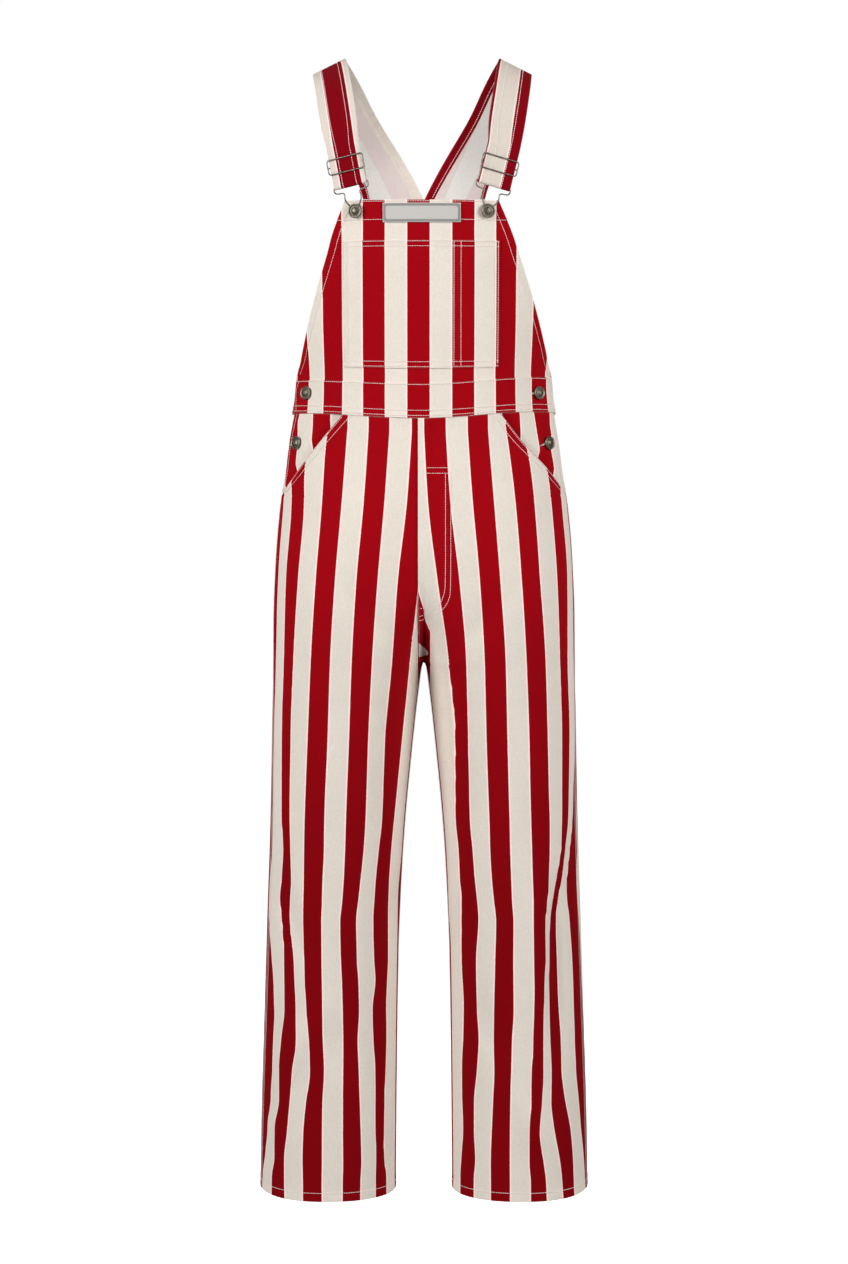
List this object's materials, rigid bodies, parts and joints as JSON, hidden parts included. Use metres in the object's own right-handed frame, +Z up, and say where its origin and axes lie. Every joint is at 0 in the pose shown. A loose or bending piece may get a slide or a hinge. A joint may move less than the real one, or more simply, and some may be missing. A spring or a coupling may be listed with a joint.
{
  "type": "bib dungarees",
  "caption": "Full-length striped bib dungarees with shoulder straps, wire hooks, bib pocket, slash hip pockets and buttoned side openings, filled out and hanging as worn.",
  "frame": {"origin": "midway between the tops of the two shoulder straps, under which the garment is held", "axes": "+Z up along the garment, -Y out of the front with the bib, +X to the viewer's right, which is the wearer's left"},
  "size_m": [0.423, 0.2621, 1.4352],
  "materials": {
    "striped_twill": "matt cotton twill, even vertical stripes of red and cream",
    "label_cloth": "matt, bare grey label cloth",
    "brushed_steel": "dull dark silver"
  },
  "bodies": {
    "root": {"bib": "striped_twill", "bib_pocket": "striped_twill", "waistband": "striped_twill", "name_patch": "label_cloth", "back_panel": "striped_twill", "front_leg_left": "striped_twill", "back_leg_left": "striped_twill", "hip_facing_left": "striped_twill", "side_placket_left": "striped_twill", "strap_left": "striped_twill", "slide_left": "brushed_steel", "hook_left": "brushed_steel", "bib_button_left": "brushed_steel", "side_button_upper_left": "brushed_steel", "side_button_lower_left": "brushed_steel", "front_leg_right": "striped_twill", "back_leg_right": "striped_twill", "hip_facing_right": "striped_twill", "side_placket_right": "striped_twill", "strap_right": "striped_twill", "slide_right": "brushed_steel", "hook_right": "brushed_steel", "bib_button_right": "brushed_steel", "side_button_upper_right": "brushed_steel", "side_button_lower_right": "brushed_steel"}
  },
  "joints": []
}
